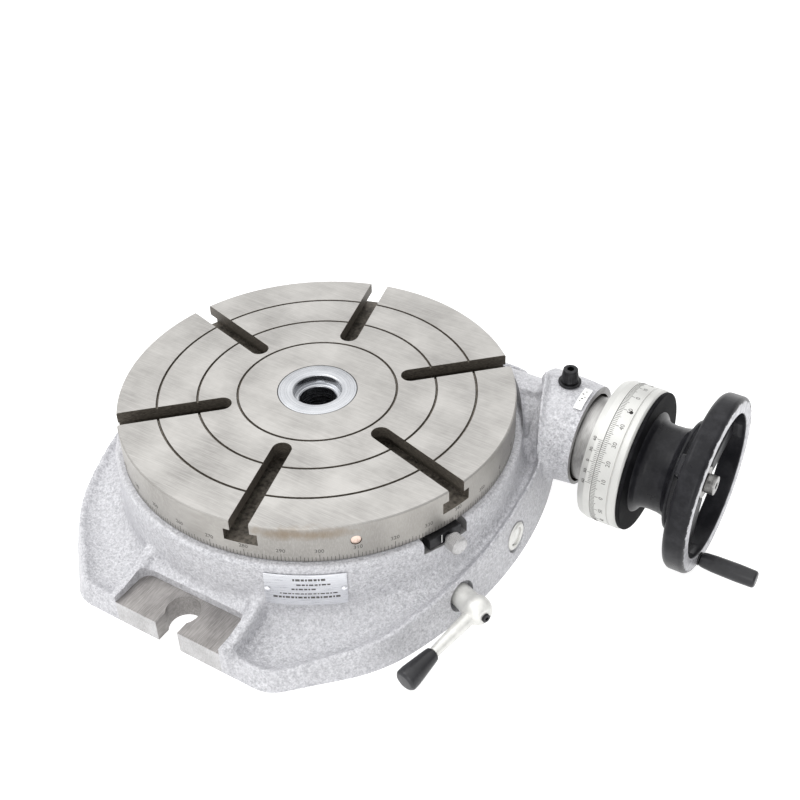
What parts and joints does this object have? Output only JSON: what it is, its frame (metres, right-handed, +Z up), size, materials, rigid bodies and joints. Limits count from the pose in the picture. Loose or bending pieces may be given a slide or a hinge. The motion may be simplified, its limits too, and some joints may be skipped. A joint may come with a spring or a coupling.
{
  "type": "rotary table",
  "caption": "Horizontal worm-driven rotary worktable with radial T-slots, cast base with slotted lugs, handwheel with graduated dial, and clamp lever.",
  "frame": {"origin": "the worktable's axis where it meets the plane that the base stands on", "axes": "+Z up along the worktable axis, +X along the worm axis towards the handwheel, the slotted lugs at -Y and +Y"},
  "size_m": [0.4196, 0.321, 0.116],
  "materials": {
    "painted_cast_iron": "silver-grey textured casting paint",
    "ground_cast_iron": "ground bare iron",
    "cast_steel": "turned",
    "hardened_steel": "hardened and ground",
    "bright_steel": "turned bright",
    "dark_steel": "dark",
    "sheet_steel": "rolled",
    "black_oxide": "black oxide",
    "bronze": "cast and cut bronze",
    "copper_plug": "copper-coloured plug",
    "satin_chrome": "satin chrome",
    "aluminium": "satin",
    "zinc_plated_steel": "pale zinc plating",
    "black_enamel": "semi-gloss black enamel",
    "black_plastic": "moulded, semi-gloss",
    "white_enamel": "plain white label",
    "oil_glass": "clear, oil behind"
  },
  "bodies": {
    "base": {"base_casting": "painted_cast_iron", "bottom_cover": "sheet_steel", "cover_screw_1": "dark_steel", "cover_screw_2": "dark_steel", "cover_screw_3": "dark_steel", "cover_screw_4": "dark_steel", "name_plate": "aluminium", "name_plate_rivet_1": "aluminium", "name_plate_rivet_2": "aluminium", "index_block": "black_oxide", "oil_sight_bezel": "bright_steel", "oil_sight_glass": "oil_glass", "oil_filler_plug": "dark_steel", "lock_washer": "dark_steel", "boss_label": "white_enamel"},
    "table": {"worktable": "ground_cast_iron", "centre_sleeve": "hardened_steel", "worm_wheel": "bronze", "wheel_screw_1": "black_oxide", "wheel_screw_2": "black_oxide", "wheel_screw_3": "black_oxide", "wheel_screw_4": "black_oxide", "clamp_disc": "cast_steel", "disc_screw_1": "black_oxide", "disc_screw_2": "black_oxide", "disc_screw_3": "black_oxide", "disc_screw_4": "black_oxide", "rim_plug": "copper_plug"},
    "eccentric": {"eccentric_sleeve": "bright_steel", "vernier_ring": "satin_chrome", "vernier_screw_1": "dark_steel", "vernier_screw_2": "dark_steel", "worm_rear_bush": "bronze", "worm_front_bush": "bronze", "worm_ball_bearing": "hardened_steel", "bearing_retainer": "dark_steel"},
    "worm": {"worm_shaft": "bright_steel", "handwheel": "black_enamel", "handwheel_key": "dark_steel", "handwheel_washer": "bright_steel", "handwheel_screw": "bright_steel", "crank_pin": "black_oxide"},
    "dial": {"dial_ring": "satin_chrome", "dial_lock_screw": "black_oxide"},
    "crank_handle": {"crank_grip": "black_plastic"},
    "clamp": {"clamp_lever": "zinc_plated_steel", "lever_screw": "black_oxide", "lever_grip": "black_plastic", "clamp_rod": "dark_steel"},
    "index_screw": {"index_knob": "bright_steel"},
    "sleeve_lock": {"lock_screw": "black_oxide"},
    "clamp_pad": {"clamp_shoe": "bronze"}
  },
  "joints": [
    {"name": "table_turn", "type": "hinge", "parent": "base", "child": "table", "pos_m": [0, 0, 0.05], "axis": [0, 0, 1], "continuous": true},
    {"name": "worm_engage", "type": "hinge", "parent": "base", "child": "eccentric", "pos_m": [0.12, 0.08975, 0.039], "axis": [1, 0, 0], "range_deg": [0, 75]},
    {"name": "worm_turn", "type": "hinge", "parent": "eccentric", "child": "worm", "pos_m": [0.12, 0.08975, 0.036], "axis": [1, 0, 0], "continuous": true},
    {"name": "dial_zero", "type": "hinge", "parent": "worm", "child": "dial", "pos_m": [0.179, 0.08975, 0.036], "axis": [1, 0, 0], "continuous": true},
    {"name": "crank_spin", "type": "hinge", "parent": "worm", "child": "crank_handle", "pos_m": [0.25, 0.07426, -0.01312], "axis": [1, 0, 0], "continuous": true},
    {"name": "clamp_turn", "type": "hinge", "parent": "base", "child": "clamp", "pos_m": [0.14711, -0.05765, 0.0151], "axis": [0.9311, -0.3649, 0], "range_deg": [0, 60]},
    {"name": "shoe_press", "type": "slide", "parent": "base", "child": "clamp_pad", "axis": [-0.9311, 0.3649, 0], "range_m": [0, 0.0004]},
    {"name": "index_screw_turn", "type": "hinge", "parent": "base", "child": "index_screw", "pos_m": [0.12193, -0.0451, 0.0496], "axis": [0.9379, -0.3469, 0], "continuous": true},
    {"name": "lock_screw_turn", "type": "hinge", "parent": "base", "child": "sleeve_lock", "pos_m": [0.131, 0.092, 0.078], "axis": [0, 0, 1], "continuous": true}
  ],
  "couplings": [
    {"joint": "worm_turn", "follows": "table_turn", "ratio": 90}
  ]
}
